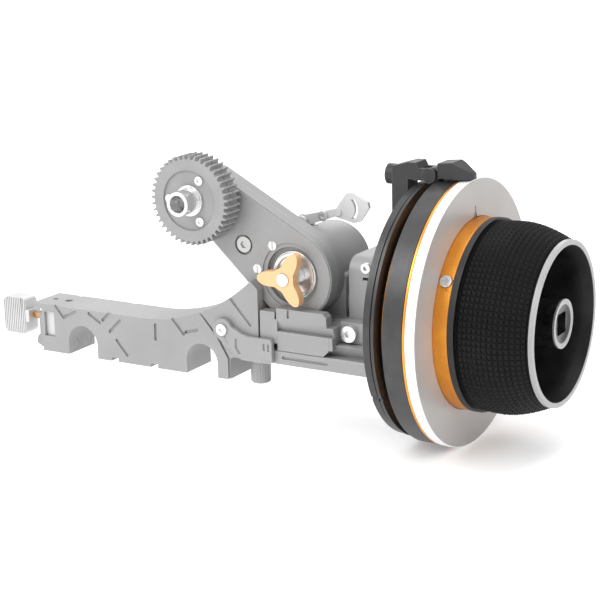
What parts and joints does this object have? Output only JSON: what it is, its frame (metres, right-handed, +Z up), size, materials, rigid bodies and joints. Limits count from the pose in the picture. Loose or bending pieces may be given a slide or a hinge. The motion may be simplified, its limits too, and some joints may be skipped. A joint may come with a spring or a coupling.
{
  "type": "follow focus unit",
  "caption": "Follow focus unit: a rod bridge carries a sliding gearbox with a swing arm and toothed drive gear, turned by a large handwheel with a marking disc.",
  "frame": {"origin": "on the axis of the rod saddle nearest the handwheel, half way along its depth", "axes": "+X from the bridge towards the handwheel, +Y back along the rods, +Z up"},
  "size_m": [0.2513, 0.104, 0.1108],
  "materials": {
    "body_silver": null,
    "arm_silver": "fine satin anodised light grey",
    "bright_steel": "turned and polished stainless",
    "gear_grey": "fine matt moulded",
    "bronze": "machined bronze",
    "knob_gold": "pale orange anodised, satin",
    "wheel_black": "dark grey satin anodised with turning marks",
    "wheel_orange": "orange anodised, satin",
    "disc_white": "satin white writing surface",
    "knob_black": "matt black moulded",
    "rubber_black": "matt moulded rubber with small square pyramids",
    "index_black": "satin black anodised",
    "socket_dark": "blackened steel with a bright rim",
    "cam_silver": "satin steel",
    "gear_steel": "ground steel gear teeth"
  },
  "bodies": {
    "bridge": {"bridge": "body_silver", "clamp_block": "cam_silver", "rail": "body_silver", "bridge_screws": "bright_steel"},
    "clamp_yoke": {"clamp_yoke": "body_silver"},
    "clamp_knob": {"clamp_screw": "bronze", "clamp_knob": "cam_silver"},
    "lock_lever": {"lock_lever": "body_silver"},
    "release_button": {"release_button": "body_silver", "button_spring": "bright_steel"},
    "carriage": {"gearbox_housing": "body_silver", "rear_cap": "body_silver", "rear_cap_screws": "bright_steel", "front_jaw": "body_silver", "jaw_screws": "bright_steel", "spindle_housing": "body_silver", "housing_screws": "bright_steel", "spindle_bearings": "bright_steel", "shaft_bushes": "bronze", "ring_carrier": "wheel_black", "ring_retainer": "wheel_black", "index_arm": "index_black", "index_pin": "index_black", "lever_post": "cam_silver"},
    "arm": {"arm_front_shell": "arm_silver", "arm_back_shell": "arm_silver", "arm_cover_screw": "gear_steel", "arm_slot_screws": "bright_steel", "idler_axles": "bright_steel", "output_bearings": "bright_steel", "knob_washer": "bright_steel"},
    "input_gear": {"input_gear": "gear_steel"},
    "idler_a": {"idler_gear_a": "gear_steel"},
    "idler_b": {"idler_gear_b": "gear_steel"},
    "output": {"output_shaft": "gear_steel", "drive_gear": "gear_grey", "gear_screws": "bright_steel", "gear_stub": "bright_steel"},
    "arm_knob": {"tri_knob": "knob_gold", "tri_knob_bolt": "bright_steel"},
    "cam_lever": {"cam_lever": "cam_silver", "cam_lever_screw": "bright_steel"},
    "cross_shaft": {"cross_shaft": "gear_steel", "bevel_gear": "gear_steel"},
    "drive_shaft": {"drive_shaft": "gear_steel"},
    "wheel": {"spindle": "bright_steel", "bevel_pinion": "gear_steel", "wheel_core": "wheel_orange", "wheel_drum": "wheel_black", "disc_magnets": "bright_steel", "wheel_hub": "wheel_orange", "hub_set_screw": "bright_steel", "knob_core": "knob_black", "rubber_grip": "rubber_black", "crank_socket": "socket_dark", "spindle_nut": "bright_steel"},
    "marking_disc": {"marking_disc": "disc_white"},
    "stop_ring_a": {"stop_ring_a": "wheel_black"},
    "stop_ring_b": {"stop_ring_b": "wheel_black"},
    "index_pointer": {"index_pointer": "index_black"}
  },
  "joints": [
    {"name": "yoke_slide", "type": "slide", "parent": "bridge", "child": "clamp_yoke", "axis": [1, 0, 0], "range_m": [-0.00199, 0]},
    {"name": "clamp_knob_turn", "type": "hinge", "parent": "clamp_yoke", "child": "clamp_knob", "pos_m": [-0.095, 0, 0.0066], "axis": [1, 0, 0], "range_deg": [-1025, 0]},
    {"name": "lock_lever_turn", "type": "hinge", "parent": "bridge", "child": "lock_lever", "pos_m": [0.0117, -0.0105, 0.0155], "axis": [0, 1, 0], "range_deg": [0, 32]},
    {"name": "button_press", "type": "slide", "parent": "bridge", "child": "release_button", "axis": [0, 0, 1], "range_m": [0, 0.0015], "stiffness_N_per_m": 400, "springref_m": -0.002},
    {"name": "carriage_slide", "type": "slide", "parent": "bridge", "child": "carriage", "axis": [1, 0, 0], "range_m": [0, 0.015]},
    {"name": "arm_swing", "type": "hinge", "parent": "carriage", "child": "arm", "pos_m": [0.0403, 0, 0.0388], "axis": [0, 1, 0], "range_deg": [0, 65]},
    {"name": "wheel_turn", "type": "hinge", "parent": "carriage", "child": "wheel", "pos_m": [0.1, 0.0178, 0.0268], "axis": [1, 0, 0], "continuous": true},
    {"name": "disc_turn", "type": "hinge", "parent": "wheel", "child": "marking_disc", "pos_m": [0.106, 0.0178, 0.0268], "axis": [1, 0, 0], "continuous": true},
    {"name": "ring_a_turn", "type": "hinge", "parent": "carriage", "child": "stop_ring_a", "pos_m": [0.088, 0.0178, 0.0268], "axis": [1, 0, 0], "continuous": true},
    {"name": "ring_b_turn", "type": "hinge", "parent": "carriage", "child": "stop_ring_b", "pos_m": [0.0903, 0.0178, 0.0268], "axis": [1, 0, 0], "continuous": true},
    {"name": "cross_turn", "type": "hinge", "parent": "carriage", "child": "cross_shaft", "pos_m": [0.0403, 0.0178, 0.0268], "axis": [0, 1, 0], "continuous": true},
    {"name": "drive_turn", "type": "hinge", "parent": "carriage", "child": "drive_shaft", "pos_m": [0.0403, 0.0178, 0.0388], "axis": [0, 1, 0], "continuous": true},
    {"name": "input_turn", "type": "hinge", "parent": "arm", "child": "input_gear", "pos_m": [0.0403, 0.0027, 0.0388], "axis": [0, 1, 0], "continuous": true},
    {"name": "idler_a_turn", "type": "hinge", "parent": "arm", "child": "idler_a", "pos_m": [0.02711, 0.0027, 0.05383], "axis": [0, 1, 0], "continuous": true},
    {"name": "idler_b_turn", "type": "hinge", "parent": "arm", "child": "idler_b", "pos_m": [0.01341, 0.0027, 0.05828], "axis": [0, 1, 0], "continuous": true},
    {"name": "output_turn", "type": "hinge", "parent": "arm", "child": "output", "pos_m": [0.00077, -0.01, 0.06742], "axis": [0, 1, 0], "continuous": true},
    {"name": "arm_knob_turn", "type": "hinge", "parent": "carriage", "child": "arm_knob", "pos_m": [0.0403, -0.008, 0.0388], "axis": [0, 1, 0], "range_deg": [-170, 0]},
    {"name": "cam_lever_turn", "type": "hinge", "parent": "carriage", "child": "cam_lever", "pos_m": [0.0352, 0.015, 0.0568], "axis": [0, 1, 0], "range_deg": [-70, 0]},
    {"name": "index_flip", "type": "hinge", "parent": "carriage", "child": "index_pointer", "pos_m": [0.0928, 0.0145, 0.0802], "axis": [0, 1, 0], "range_deg": [-85, 0]}
  ],
  "couplings": [
    {"joint": "clamp_knob_turn", "follows": "yoke_slide", "rad_per_m": 8976},
    {"joint": "cross_turn", "follows": "wheel_turn", "ratio": 1},
    {"joint": "drive_turn", "follows": "wheel_turn", "ratio": -1},
    {"joint": "input_turn", "follows": "wheel_turn", "ratio": -1},
    {"joint": "idler_a_turn", "follows": "wheel_turn", "ratio": 1.7778},
    {"joint": "idler_b_turn", "follows": "wheel_turn", "ratio": -1.7778},
    {"joint": "output_turn", "follows": "wheel_turn", "ratio": 1.5238}
  ]
}
